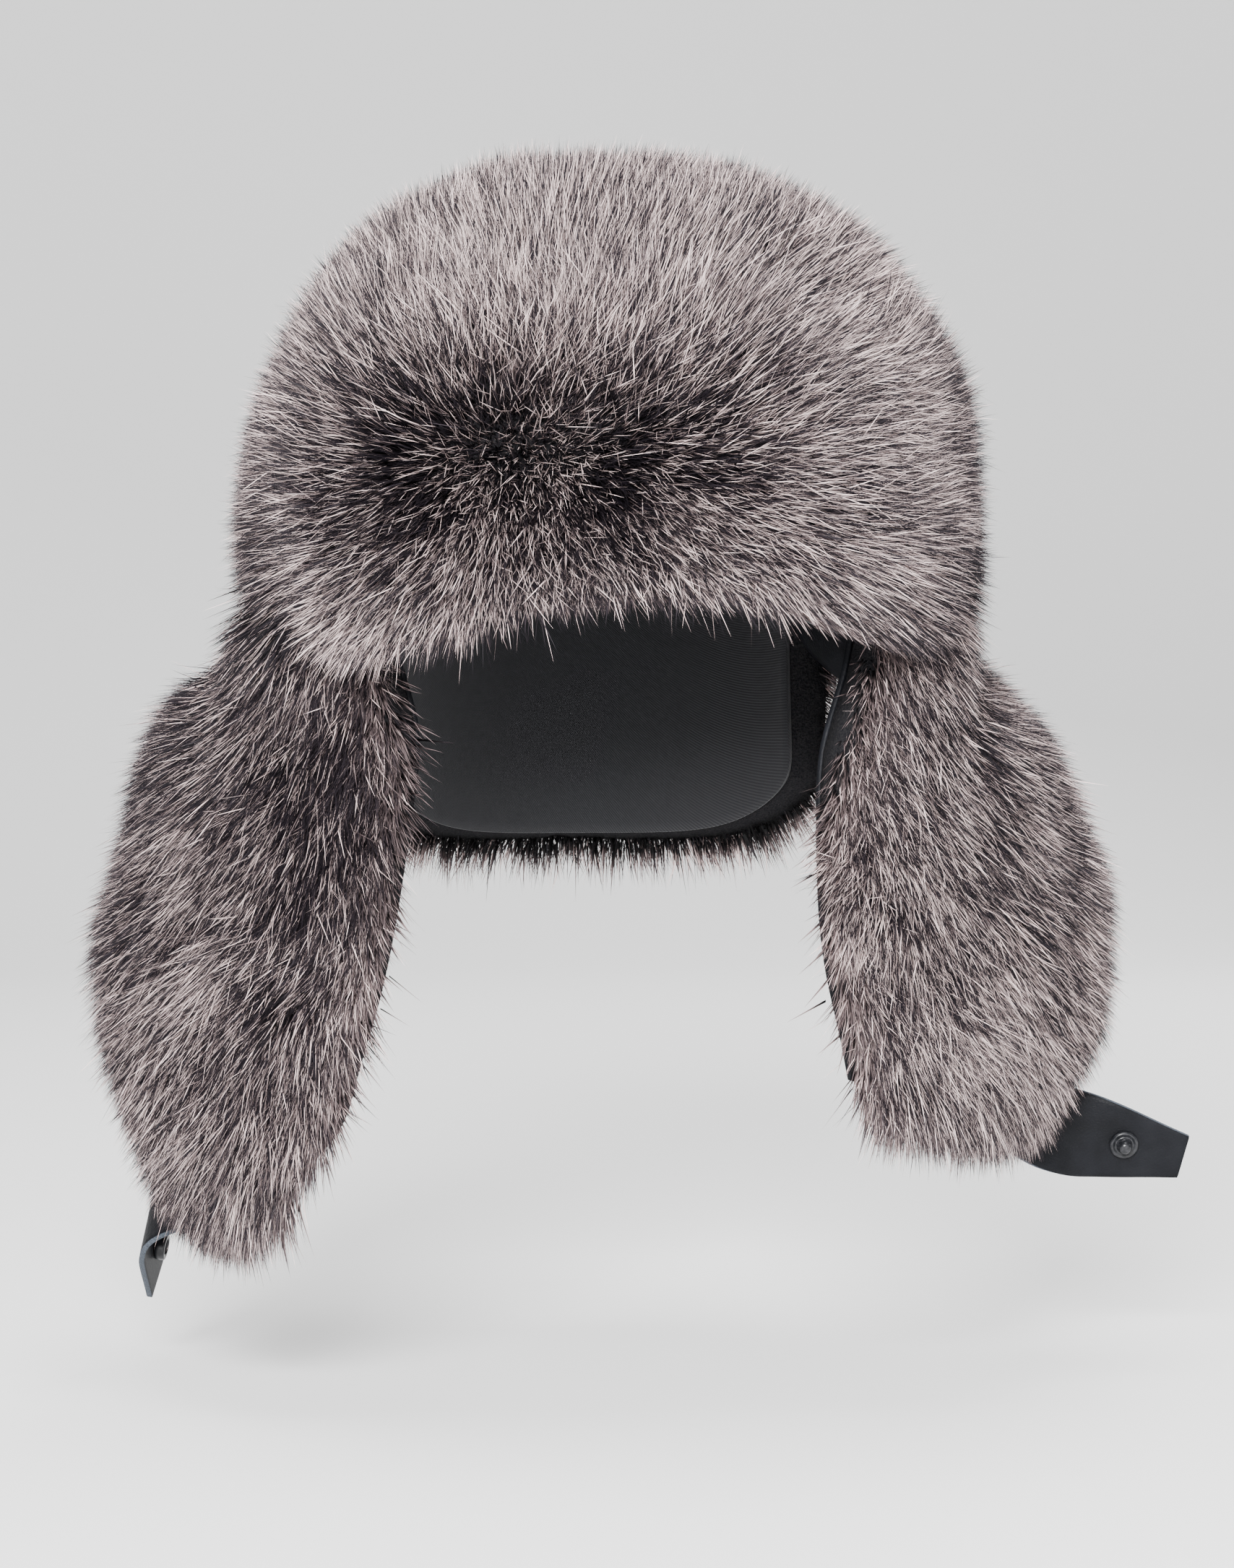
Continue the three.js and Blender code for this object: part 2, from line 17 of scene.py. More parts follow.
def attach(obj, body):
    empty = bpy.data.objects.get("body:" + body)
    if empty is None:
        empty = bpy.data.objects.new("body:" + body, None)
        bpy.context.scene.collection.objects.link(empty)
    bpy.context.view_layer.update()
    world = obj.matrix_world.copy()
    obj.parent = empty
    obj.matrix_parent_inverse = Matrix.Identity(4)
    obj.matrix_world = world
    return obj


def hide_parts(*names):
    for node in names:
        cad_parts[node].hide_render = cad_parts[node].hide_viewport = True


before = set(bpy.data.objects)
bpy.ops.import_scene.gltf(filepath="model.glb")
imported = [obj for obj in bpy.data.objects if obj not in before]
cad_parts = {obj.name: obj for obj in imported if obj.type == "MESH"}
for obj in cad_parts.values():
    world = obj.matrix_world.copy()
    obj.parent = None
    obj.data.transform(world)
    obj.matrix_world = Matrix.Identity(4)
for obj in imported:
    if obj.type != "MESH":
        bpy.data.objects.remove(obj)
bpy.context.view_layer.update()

log = logging.getLogger("ushanka")
BODY = "root"
MM = 0.001
UP = np.array([0.0, 0.0, 1.0])
Colour = tuple[float, float, float]
Place = tuple[float, float, float]
Array = np.ndarray
Material = bpy.types.Material
Socket = bpy.types.NodeSocket


class Side(Enum):
    """The wearer's side that a flap or a tab belongs to."""

    LEFT = "left"
    RIGHT = "right"

    @property
    def sign(self) -> float:
        """1 on the left, towards +X, and -1 on the right."""
        return 1.0 if self is Side.LEFT else -1.0


class Shader:
    """A Principled material under construction, with short ways to add and join nodes."""

    def __init__(self, name: str, roughness: float, specular: float = 0.5) -> None:
        """Starts the material.

        Args:
            name: the material's name.
            roughness: the same all over the surface.
            specular: how strongly the surface shines, the same all over it.
        """
        self.material = bpy.data.materials.new(name)
        self.material.use_nodes = True
        self.tree = self.material.node_tree
        self.surface = self.tree.nodes["Principled BSDF"]
        self.surface.inputs["Roughness"].default_value = roughness
        self.surface.inputs["Specular IOR Level"].default_value = specular

    def add(self, kind: str, **settings: object) -> bpy.types.Node:
        """Adds a node.

        Args:
            kind: the node's Blender type.
            settings: attributes of the node.

        Returns:
            The new node.
        """
        node = self.tree.nodes.new(kind)
        for name, value in settings.items():
            setattr(node, name, value)
        return node

    def join(self, source: Socket, target: Socket) -> None:
        """Links one socket to another."""
        self.tree.links.new(source, target)

    def pattern(
        self, kind: str, scale: float, detail: float | None = None, **settings: object
    ) -> bpy.types.Node:
        """A pattern over the object's own coordinates.

        Args:
            kind: the pattern node's Blender type.
            scale: how close it is, for each metre.
            detail: how many finer layers it has, where it has any.
            settings: attributes of the node.

        Returns:
            The pattern's node.
        """
        place = self.add("ShaderNodeTexCoord")
        node = self.add(kind, **settings)
        node.inputs["Scale"].default_value = scale
        if detail is not None:
            node.inputs["Detail"].default_value = detail
        self.join(place.outputs["Object"], node.inputs["Vector"])
        return node

    def noise(self, scale: float, detail: float) -> Socket:
        """The value of a noise of so many ripples a metre, with so many finer layers."""
        return self.pattern("ShaderNodeTexNoise", scale, detail).outputs["Fac"]

    def ramp(self, value: Socket, stops: Iterable[tuple[float, Colour]]) -> Socket:
        """A colour ramp.

        Args:
            value: what drives it.
            stops: places from 0 to 1 and their colours.

        Returns:
            The ramp's colour.
        """
        ramp = self.add("ShaderNodeValToRGB")
        elements = ramp.color_ramp.elements
        stops = list(stops)
        while len(elements) < len(stops):
            elements.new(0.5)
        for element, (place, colour) in zip(elements, stops):
            element.position = place
            element.color = (*colour, 1.0)
        self.join(value, ramp.inputs["Fac"])
        return ramp.outputs["Color"]

    def multiply(self, first: Socket, second: Socket) -> Socket:
        """The product of two colours.

        Args:
            first: one colour.
            second: the other.

        Returns:
            The product.
        """
        mix = self.add("ShaderNodeMix", data_type="RGBA", blend_type="MULTIPLY")
        mix.inputs["Factor"].default_value = 1.0
        self.join(first, mix.inputs["A"])
        self.join(second, mix.inputs["B"])
        return mix.outputs["Result"]

    def colour(self, source: Socket) -> None:
        """Gives the surface its colour."""
        self.join(source, self.surface.inputs["Base Color"])

    def bump(self, height: Socket, depth: float, strength: float = 1.0) -> None:
        """Gives the surface a relief.

        Args:
            height: the relief's height from 0 to 1.
            depth: the relief's full height in metres.
            strength: how much of it shows.
        """
        bump = self.add("ShaderNodeBump")
        bump.inputs["Distance"].default_value = depth
        bump.inputs["Strength"].default_value = strength
        self.join(height, bump.inputs["Height"])
        self.join(bump.outputs["Normal"], self.surface.inputs["Normal"])


@dataclass(frozen=True)
class FurFinish:
    """Banded hair: dark below and light at the tip, from black hairs to nearly white ones.

    The hair's own map gives its tone across and the place along it upwards. The colour there is the
    band's times the tone's, from TONES.
    """

    root: Colour = (0.005, 0.005, 0.007)
    under: Colour = (0.012, 0.011, 0.014)
    band: Colour = (0.2, 0.155, 0.152)
    light: Colour = (0.86, 0.675, 0.655)
    tip: Colour = (1.0, 0.83, 0.81)
    roughness: float = 0.55
    specular: float = 0.12

    TONES = (
        (0.0, (0.008, 0.008, 0.012)),
        (0.32, (0.03, 0.03, 0.037)),
        (0.44, (0.3, 0.28, 0.285)),
        (0.62, (0.82, 0.8, 0.79)),
        (1.0, (1.0, 1.0, 1.0)),
    )

    def material(self) -> Material:
        """Builds the hair material.

        Returns:
            The material.
        """
        shader = Shader("fur", self.roughness, self.specular)
        place = shader.add("ShaderNodeUVMap", uv_map="hair")
        split = shader.add("ShaderNodeSeparateXYZ")
        shader.join(place.outputs["UV"], split.inputs["Vector"])
        bands = shader.ramp(
            split.outputs["Y"],
            [(0.0, self.root), (0.46, self.under), (0.56, self.band), (0.66, self.light), (1.0, self.tip)],
        )
        shader.colour(shader.multiply(bands, shader.ramp(split.outputs["X"], self.TONES)))
        return shader.material


@dataclass(frozen=True)
class UnderfurFinish:
    """The dense dark wool below the hair."""

    dark: Colour = (0.006, 0.006, 0.008)
    light: Colour = (0.02, 0.019, 0.02)

    def material(self) -> Material:
        """Builds the underfur material.

        Returns:
            The material.
        """
        shader = Shader("underfur", roughness=0.95, specular=0.1)
        fuzz = shader.noise(1400.0, 4.0)
        shader.colour(shader.ramp(fuzz, [(0.35, self.dark), (0.7, self.light)]))
        shader.bump(fuzz, 1.2 * MM)
        return shader.material


@dataclass(frozen=True)
class LeatherFinish:
    """Fine-grained black leather."""

    dark: Colour = (0.003, 0.0032, 0.004)
    worn: Colour = (0.009, 0.0095, 0.012)
    roughness: float = 0.48
    specular: float = 0.09
    grain: float = 950.0
    pebble_height: float = 0.22
    pebble_softness: float = 0.12
    crease_share: float = 0.35

    def material(self) -> Material:
        """Builds the leather material: worn patches, and a relief of flat pebbles with creases.

        Returns:
            The material.
        """
        shader = Shader("leather", self.roughness, self.specular)
        shader.colour(shader.ramp(shader.noise(60.0, 5.0), [(0.3, self.dark), (0.75, self.worn)]))
        cells = shader.pattern("ShaderNodeTexVoronoi", self.grain, feature="DISTANCE_TO_EDGE")
        pebbles = shader.add("ShaderNodeMath", operation="SMOOTH_MIN")
        pebbles.inputs[1].default_value = self.pebble_height
        pebbles.inputs[2].default_value = self.pebble_softness
        shader.join(cells.outputs["Distance"], pebbles.inputs[0])
        creases = shader.add("ShaderNodeMath", operation="MULTIPLY_ADD")
        creases.inputs[1].default_value = self.crease_share
        shader.join(shader.noise(420.0, 4.0), creases.inputs[0])
        shader.join(pebbles.outputs["Value"], creases.inputs[2])
        shader.bump(creases.outputs["Value"], 0.35 * MM, 0.7)
        return shader.material


@dataclass(frozen=True)
class CutEdgeFinish:
    """The raw edge of the leather, fibrous and blue-grey."""

    dark: Colour = (0.014, 0.018, 0.025)
    light: Colour = (0.07, 0.086, 0.11)

    def material(self) -> Material:
        """Builds the cut edge material.

        Returns:
            The material.
        """
        shader = Shader("cut_edge", roughness=0.9)
        fibres = shader.noise(2600.0, 4.0)
        shader.colour(shader.ramp(fibres, [(0.35, self.dark), (0.65, self.light)]))
        shader.bump(fibres, 0.25 * MM)
        return shader.material


@dataclass(frozen=True)
class ClothFinish:
    """The dull twill of the lining."""

    dark: Colour = (0.008, 0.008, 0.01)
    light: Colour = (0.017, 0.017, 0.02)
    threads: float = 5200.0

    def material(self) -> Material:
        """Builds the lining material.

        Returns:
            The material.
        """
        shader = Shader("lining_cloth", roughness=0.8, specular=0.3)
        shader.surface.inputs["Sheen Weight"].default_value = 0.15
        scale = self.threads / (2.0 * math.pi)
        twill = shader.pattern("ShaderNodeTexWave", scale, 1.0, bands_direction="DIAGONAL")
        twill.inputs["Distortion"].default_value = 0.6
        shader.colour(shader.ramp(twill.outputs["Fac"], [(0.1, self.dark), (0.9, self.light)]))
        shader.bump(twill.outputs["Fac"], 0.15 * MM, 0.6)
        return shader.material


@dataclass(frozen=True)
class SnapFinish:
    """Black enamelled metal, rubbed a little in scattered patches."""

    enamel: Colour = (0.006, 0.0065, 0.008)
    rubbed: Colour = (0.03, 0.03, 0.034)

    def material(self) -> Material:
        """Builds the snap material.

        Returns:
            The material.
        """
        shader = Shader("snap_metal", roughness=0.28, specular=0.35)
        shader.colour(shader.ramp(shader.noise(900.0, 4.0), [(0.45, self.enamel), (0.85, self.rubbed)]))
        return shader.material


@dataclass(frozen=True)
class StageFinish:
    """A plain pale sheet of paper."""

    paper: Colour = (0.93, 0.93, 0.93)

    def material(self) -> Material:
        """Builds the floor's material.

        Returns:
            The material.
        """
        shader = Shader("paper", roughness=0.9)
        shader.surface.inputs["Base Color"].default_value = (*self.paper, 1.0)
        return shader.material


class Wardrobe:
    """The finishes, each made once."""

    def __init__(self) -> None:
        """Makes every material."""
        self.fur = FurFinish().material()
        self.underfur = UnderfurFinish().material()
        self.leather = LeatherFinish().material()
        self.cut_edge = CutEdgeFinish().material()
        self.cloth = ClothFinish().material()
        self.snap = SnapFinish().material()
        self.paper = StageFinish().material()


def unit(vectors: Array) -> Array:
    """Vectors of length 1 along the given ones.

    Args:
        vectors: one vector a row.

    Returns:
        The same directions at unit length.
    """
    length = np.linalg.norm(vectors, axis=-1, keepdims=True)
    return vectors / np.maximum(length, 1e-12)


def flatten(vectors: Array, normals: Array) -> Array:
    """The part of each vector that lies along the surface.

    Args:
        vectors: one vector a row.
        normals: the surface's unit normals.

    Returns:
        The vectors with their part along the normal taken away.
    """
    return vectors - normals * np.sum(vectors * normals, axis=-1, keepdims=True)


def ease(value: Array, low: float, high: float) -> Array:
    """Rises from 0 at low to 1 at high with soft ends."""
    share = np.clip((value - low) / (high - low), 0.0, 1.0)
    return share * share * (3.0 - 2.0 * share)


def fade(distance: Array, reach: float) -> Array:
    """Falls from 1 at no distance towards 0 past the reach."""
    return np.exp(-np.square(distance / reach))


def drift(points: Array, size: float, seed: int) -> Array:
    """A smooth field that wanders about 0.

    Args:
        points: where to read it.
        size: the size of its patches in metres.
        seed: which field it is.

    Returns:
        One value a point, mostly between -1 and 1.
    """
    waves = 9
    chance = np.random.default_rng(seed)
    heading = unit(chance.normal(size=(waves, 3)))
    pace = 2.0 * math.pi / (size * chance.uniform(1.2, 2.6, waves))
    phase = chance.uniform(0.0, 2.0 * math.pi, waves)
    swing = np.sin(points @ (heading * pace[:, None]).T + phase)
    return swing.sum(axis=1) / math.sqrt(waves / 2.0) * 0.6


@dataclass(frozen=True)
class Ripple:
    """A drift over a pelt: how strong it is, the size of its patches and which of the fields it is."""

    strength: float
    size: float
    field: int

    def over(self, points: Array, seed: int) -> Array:
        """Its value at each point."""
        return self.strength * drift(points, self.size, seed + self.field)


def in_scene(name: str, data: bpy.types.ID) -> bpy.types.Object:
    """Puts a mesh, a light or a camera in the scene.

    Args:
        name: the object's name.
        data: what it shows.

    Returns:
        The new object.
    """
    item = bpy.data.objects.new(name, data)
    bpy.context.scene.collection.objects.link(item)
    return item


def mesh_of(form: bmesh.types.BMesh, name: str, *finishes: Material) -> bpy.types.Mesh:
    """Turns a form into a smooth mesh and frees the form.

    Args:
        form: the form, in place.
        name: the mesh's name.
        finishes: its materials, in the order of the form's material numbers.

    Returns:
        The mesh.
    """
    mesh = bpy.data.meshes.new(name)
    form.to_mesh(mesh)
    form.free()
    for finish in finishes:
        mesh.materials.append(finish)
    mesh.shade_smooth()
    return mesh


def piece_from(name: str, mesh: bpy.types.Mesh, replaced: Iterable[str]) -> bpy.types.Object:
    """Makes a finished piece of the hat and reports it.

    Args:
        name: the piece's name.
        mesh: its mesh, already in place.
        replaced: the solids that it stands for.

    Returns:
        The new object.
    """
    piece = in_scene(name, mesh)
    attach(piece, BODY)
    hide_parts(*replaced)
    log.info("%s: %d faces", name, len(mesh.polygons))
    return piece


def merged_copy(node: str) -> bmesh.types.BMesh:
    """A copy of a solid with its loose triangles joined.

    Args:
        node: the solid's name.

    Returns:
        The copy, which the caller may change.
    """
    form = bmesh.new()
    form.from_mesh(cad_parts[node].data)
    bmesh.ops.remove_doubles(form, verts=form.verts, dist=0.01 * MM)
    form.normal_update()
    return form


def smooth_patch(seed: bmesh.types.BMFace, limit: float) -> set[bmesh.types.BMFace]:
    """The faces that join a seed face with no sharp edge between.

    Args:
        seed: where the patch starts.
        limit: the sharpest turn that it crosses, in radians.

    Returns:
        The patch's faces.
    """
    patch = {seed}
    front = [seed]
    while front:
        face = front.pop()
        for edge in face.edges:
            if len(edge.link_faces) != 2 or edge.calc_face_angle(math.pi) > limit:
                continue
            for other in edge.link_faces:
                if other not in patch:
                    patch.add(other)
                    front.append(other)
    return patch


def tree_of(points: Array) -> KDTree:
    """A search tree over points.

    Args:
        points: one point a row.

    Returns:
        The tree, whose indices are the rows.
    """
    tree = KDTree(len(points))
    for index, point in enumerate(points):
        tree.insert(point, index)
    tree.balance()
    return tree


class Rim:
    """A stretch of a surface's border as close points, each with its way outwards."""

    SMOOTHING = 14.0 * MM

    def __init__(self, points: Array, outward: Array) -> None:
        """Smooths the outward ways along the border.

        Args:
            points: the border's points.
            outward: the way off the surface at each.
        """
        self.tree = tree_of(points)
        near = [[hit[1] for hit in self.tree.find_range(point, self.SMOOTHING)] for point in points]
        self.outward = unit(np.array([outward[found].sum(axis=0) for found in near]))

    def near(self, points: Array) -> tuple[Array, Array]:
        """How far points lie from the border.

        Args:
            points: the points.

        Returns:
            The distances, and the way off the surface at the nearest place of the border.
        """
        found = [self.tree.find(point)[1:] for point in points]
        return np.array([hit[1] for hit in found]), self.outward[[hit[0] for hit in found]]


@dataclass
class Surface:
    """An open surface as arrays: where the hair of one pelt may grow."""

    points: Array
    normals: Array
    triangles: Array
    border: Array
    border_outward: Array

    SHARP = math.radians(32.0)
    BORDER_STEP = 2.0 * MM

    @staticmethod
    def outward(point: Vector) -> Vector:
        """The way from the hat's middle, level below the brow edge and rising above it."""
        return Vector((point.x, point.y, max(point.z, 0.0))).normalized()

    @classmethod
    def hide_of(cls, node: str) -> tuple[bmesh.types.BMesh, "Surface"]:
        """Reads the inner face of a pelt's solid.

        Args:
            node: the pelt's solid.

        Returns:
            The face turned outwards, as a mesh and as arrays.
        """
        form = merged_copy(node)
        seed = min(form.faces, key=lambda face: face.normal.dot(cls.outward(face.calc_center_median())))
        kept = smooth_patch(seed, cls.SHARP)
        bmesh.ops.delete(form, geom=[face for face in form.faces if face not in kept], context="FACES")
        bmesh.ops.reverse_faces(form, faces=form.faces)
        form.normal_update()
        return form, cls.arrays(form)

    @classmethod
    def arrays(cls, form: bmesh.types.BMesh) -> "Surface":
        """Turns a triangle mesh into arrays, with its border as close points.

        Args:
            form: the mesh.

        Returns:
            The arrays.
        """
        form.verts.index_update()
        points = np.array([vert.co for vert in form.verts])
        normals = np.array([vert.normal for vert in form.verts])
        triangles = np.array([[vert.index for vert in face.verts] for face in form.faces])
        border = []
        ways = []
        for edge in form.edges:
            if not edge.is_boundary:
                continue
            face = edge.link_faces[0]
            start, end = (vert.co for vert in edge.verts)
            way = (end - start).cross(face.normal).normalized()
            if way.dot(start - face.calc_center_median()) < 0.0:
                way.negate()
            steps = max(2, int((end - start).length / cls.BORDER_STEP))
            for share in np.linspace(0.0, 1.0, steps, endpoint=False):
                border.append(start.lerp(end, share))
                ways.append(way)
        return cls(points, normals, triangles, np.array(border), np.array(ways))

    def corner_points(self) -> Array:
        """The corners of every triangle."""
        return self.points[self.triangles]

    def areas(self) -> Array:
        """The area of every triangle."""
        first, second, third = np.moveaxis(self.corner_points(), 1, 0)
        return np.linalg.norm(np.cross(second - first, third - first), axis=1) / 2.0

    def scatter(
        self, count: int, chance: np.random.Generator, favour: Callable[[Array], Array]
    ) -> tuple[Array, Array]:
        """Places roots over the surface.

        Args:
            count: how many.
            chance: the source of the draws.
            favour: gives each triangle's middle its share of roots for its area.

        Returns:
            The roots' points and unit normals.
        """
        corners = self.corner_points()
        weight = self.areas() * favour(corners.mean(axis=1))
        picked = chance.choice(len(weight), size=count, p=weight / weight.sum())
        share = chance.random((count, 2))
        share = np.where(share.sum(axis=1, keepdims=True) > 1.0, 1.0 - share, share)
        shares = np.column_stack([1.0 - share.sum(axis=1), share])[:, :, None]
        roots = (corners[picked] * shares).sum(axis=1)
        normals = unit((self.normals[self.triangles[picked]] * shares).sum(axis=1))
        return roots, normals


@dataclass(frozen=True)
class Strand:
    """One kind of hair.

    Width is at its widest, reach is the range of its height as a share of the pile, and tone is the
    range that its own tone is drawn from.
    """

    width: float
    bent: bool
    reach: tuple[float, float]
    tone: tuple[float, float]


class HairMesh:
    """Collects strands and joins them into one mesh of tapered slivers."""

    def __init__(self) -> None:
        """Starts empty."""
        self.points: list[Array] = []
        self.corners: list[Array] = []
        self.maps: list[Array] = []
        self.count = 0

    def bent(self, base: Array, middle: Array, tip: Array, across: Array, maps: Array) -> None:
        """Adds strands of two slivers, widest where they bend.

        Args:
            base: the lower ends.
            middle: where they bend.
            tip: the upper ends.
            across: half the width, as vectors.
            maps: each strand's tone, and its place on the banding at the base, the bend and the tip.
        """
        rows = np.stack([base, middle + across, middle - across, tip], axis=1)
        along = maps[:, [1, 2, 2, 3]]
        self._add(rows, along, maps[:, 0], np.array([0, 1, 2, 2, 1, 3]))

    def straight(self, base: Array, tip: Array, across: Array, maps: Array) -> None:
        """Adds strands of one sliver, widest at the base.

        Args:
            base: the lower ends.
            tip: the upper ends.
            across: half the width, as vectors.
            maps: each strand's tone, and its place on the banding at the base, the bend and the tip.
        """
        rows = np.stack([base - across, base + across, tip], axis=1)
        self._add(rows, maps[:, [1, 1, 3]], maps[:, 0], np.array([0, 1, 2]))

    def _add(self, rows: Array, along: Array, tone: Array, pattern: Array) -> None:
        """Adds strands of one pattern of triangles.

        Args:
            rows: the strands' points, one strand a row.
            along: each point's place on the banding.
            tone: each strand's tone.
            pattern: the triangles' corners within one strand.
        """
        strands, width = along.shape
        self.corners.append((np.arange(strands)[:, None] * width + pattern[None, :]).ravel() + self.count)
        self.maps.append(np.stack([np.repeat(tone, len(pattern)), along[:, pattern].ravel()], axis=1))
        self.points.append(rows.reshape(-1, 3))
        self.count += strands * width

    def mesh(self, name: str, material: Material) -> bpy.types.Mesh:
        """Joins all the strands.

        Args:
            name: the mesh's name.
            material: its finish.

        Returns:
            The mesh.
        """
        points = np.concatenate(self.points)
        corners = np.concatenate(self.corners)
        mesh = bpy.data.meshes.new(name)
        mesh.vertices.add(len(points))
        mesh.vertices.foreach_set("co", points.astype(np.float32).ravel())
        mesh.loops.add(len(corners))
        mesh.loops.foreach_set("vertex_index", corners.astype(np.int32))
        mesh.polygons.add(len(corners) // 3)
        mesh.polygons.foreach_set("loop_start", np.arange(0, len(corners), 3, dtype=np.int32))
        layer = mesh.uv_layers.new(name="hair")
        layer.uv.foreach_set("vector", np.concatenate(self.maps).astype(np.float32).ravel())
        mesh.materials.append(material)
        mesh.update(calc_edges=True)
        mesh.validate()
        return mesh


@dataclass
class Pelt:
    """A piece of fur: a hide with dark wool on it, and hair in tufts through the wool.

    The counts are of guard hairs, grey hairs and dark ones, as in KINDS. The wool's depth is a share of
    the pile, tuft is how far the tufts stand from one another, and lift is the hair's usual lean.
    The border is free where it lies below free_below, and sewn above it. Within edge_reach of a free
    edge the hair turns over it, up to edge_turn at the edge itself. There it is edge_length long, as a
    share of the pile, and keeps edge_lean of its lean along the hide.
    """

    node: str = ""
    counts: tuple[int, int, int] = (20000, 20000, 20000)
    seed: int = 1
    patch_seed: int = 61
    pile: float = 38.0 * MM
    hide: float = 2.5 * MM
    wool: float = 0.64
    tuft: float = 3.8 * MM
    lift: float = math.radians(42.0)
    free_below: float = -8.0 * MM
    edge_reach: float = 30.0 * MM
    edge_turn: float = math.radians(58.0)
    edge_length: float = 0.66
    edge_lean: float = 0.7

    KINDS = (
        Strand(width=0.38 * MM, bent=True, reach=(0.92, 1.06), tone=(0.12, 1.0)),
        Strand(width=0.5 * MM, bent=False, reach=(0.86, 1.02), tone=(0.0, 0.8)),
        Strand(width=0.85 * MM, bent=False, reach=(0.88, 1.04), tone=(0.0, 0.28)),
    )
    PATCHES = (Ripple(0.28, 26.0 * MM, 0), Ripple(0.36, 8.0 * MM, 1))
    SWINGS = (Ripple(0.35, 24.0 * MM, 11), Ripple(0.25, 9.0 * MM, 14))
    LEANING = Ripple(0.14, 16.0 * MM, 12)
    LENGTHS = Ripple(0.035, 14.0 * MM, 13)
    WOOL_DEPTH = Ripple(0.05, 12.0 * MM, 9)
    WOOL_EDGE_LOSS = 0.1
    WOOL_TURN = 0.55
    EDGE_FALL = 1.6
    EDGE_TURNS = (0.25, 1.0)
    LEAN_STRAY = 0.4
    LEAN_RANGE = (-0.3, math.radians(60.0))
    LEAN_GROWTH = 0.45
    DRAW_IN = (0.3, 1.3)
    BOW = 0.16
    SUNK = 0.08
    BEND_STRAY = 0.6 * MM
    TIP_STRAY = 1.0 * MM
    THICKNESS = (0.5, 1.2)
    TUFT_LIGHT = 0.32
    TONE_PULL = 2.2
    EDGE_TONE = 0.42
    QUICK_SHARE = 0.2

    def __post_init__(self) -> None:
        """Reads the hide from the frame."""
        self.form, self.surface = Surface.hide_of(self.node)
        self.chance = np.random.default_rng(self.seed)
        free = self.surface.border[:, 2] < self.free_below
        border, outward = self.surface.border[free], self.surface.border_outward[free]
        self.free_rim = Rim(border, outward) if free.any() else None

    def flow(self, points: Array, normals: Array) -> Array:
        """The way that the hair lies, as vectors in space, before they are laid on the hide."""
        raise NotImplementedError

    def lean(self, points: Array) -> Array:
        """The angle between the hair and the hide's normal."""
        return np.full(len(points), self.lift)

    def sway(self, points: Array) -> Array:
        """A further lean of the hair, as vectors in space whose length is the angle."""
        return np.zeros_like(points)

    def disorder(self, points: Array) -> Array:
        """How far single hairs stray from their neighbours' way, in radians."""
        return np.full(len(points), 0.36)

    def favour(self, points: Array) -> Array:
        """The share of hair for its area that each place gets."""
        return np.ones(len(points))

    def covered(self, points: Array) -> Array:
        """How far each point is covered by another pelt, from 0 to 1."""
        return np.zeros(len(points))

    def clumping(self, points: Array) -> Array:
        """How far the tips of a tuft draw together."""
        return np.full(len(points), 0.16)

    def fullness(self, points: Array) -> Array:
        """How long the fur is, as a share of the pile, away from the free edges."""
        return np.ones(len(points))

    def brightness(self, points: Array) -> Array:
        """How light the fur is: 0 is the usual grey, 1 very light and -1 very dark."""
        return self.patches(points)

    def patches(self, points: Array) -> Array:
        """Light and dark patches, wide ones and small ones."""
        return sum(ripple.over(points, self.patch_seed) for ripple in self.PATCHES)

    def length_at_edge(self, points: Array) -> Array:
        """The hair's length at the free edge nearest each point, as a share of the pile."""
        return np.full(len(points), self.edge_length)

    def edge(self, points: Array) -> tuple[Array, Array]:
        """How near a free edge points lie.

        Args:
            points: roots.

        Returns:
            1 at a free edge, falling to 0 at its reach, and the way over the edge.
        """
        if self.free_rim is None:
            return np.zeros(len(points)), np.zeros_like(points)
        distance, outward = self.free_rim.near(points)
        return np.power(np.clip(1.0 - distance / self.edge_reach, 0.0, 1.0), self.EDGE_FALL), outward

    def build_wool(self, finish: Material) -> bpy.types.Object:
        """Builds the hide and its wool as one closed body.

        Args:
            finish: the wool's material.

        Returns:
            The piece.
        """
        form = self.form.copy()
        bmesh.ops.join_triangles(
            form, faces=form.faces, angle_face_threshold=math.pi, angle_shape_threshold=math.pi
        )
        bmesh.ops.subdivide_edges(form, edges=form.edges, cuts=2, use_grid_fill=True)
        form.normal_update()
        points = np.array([vert.co for vert in form.verts])
        normals = np.array([vert.normal for vert in form.verts])
        near, outward = self.edge(points)
        full = (1.0 - near * (1.0 - self.length_at_edge(points))) * self.fullness(points)
        deep = self.wool * (1.0 + self.WOOL_DEPTH.over(points, self.seed)) - self.WOOL_EDGE_LOSS * near
        rise = np.maximum((self.hide + self.pile * full * deep) * (1.0 - self.covered(points)), self.hide)
        turn = (near * self.edge_turn * self.WOOL_TURN)[:, None]
        raised = points + (normals * np.cos(turn) + outward * np.sin(turn)) * rise[:, None]
        tree = tree_of(points)
        grown = bmesh.ops.extrude_face_region(form, geom=form.faces, use_keep_orig=True)
        for vert in (item for item in grown["geom"] if isinstance(item, bmesh.types.BMVert)):
            vert.co = raised[tree.find(vert.co)[1]]
        bmesh.ops.recalc_face_normals(form, faces=form.faces)
        name = f"{self.node}_wool"
        return piece_from(name, mesh_of(form, name, finish), [self.node])

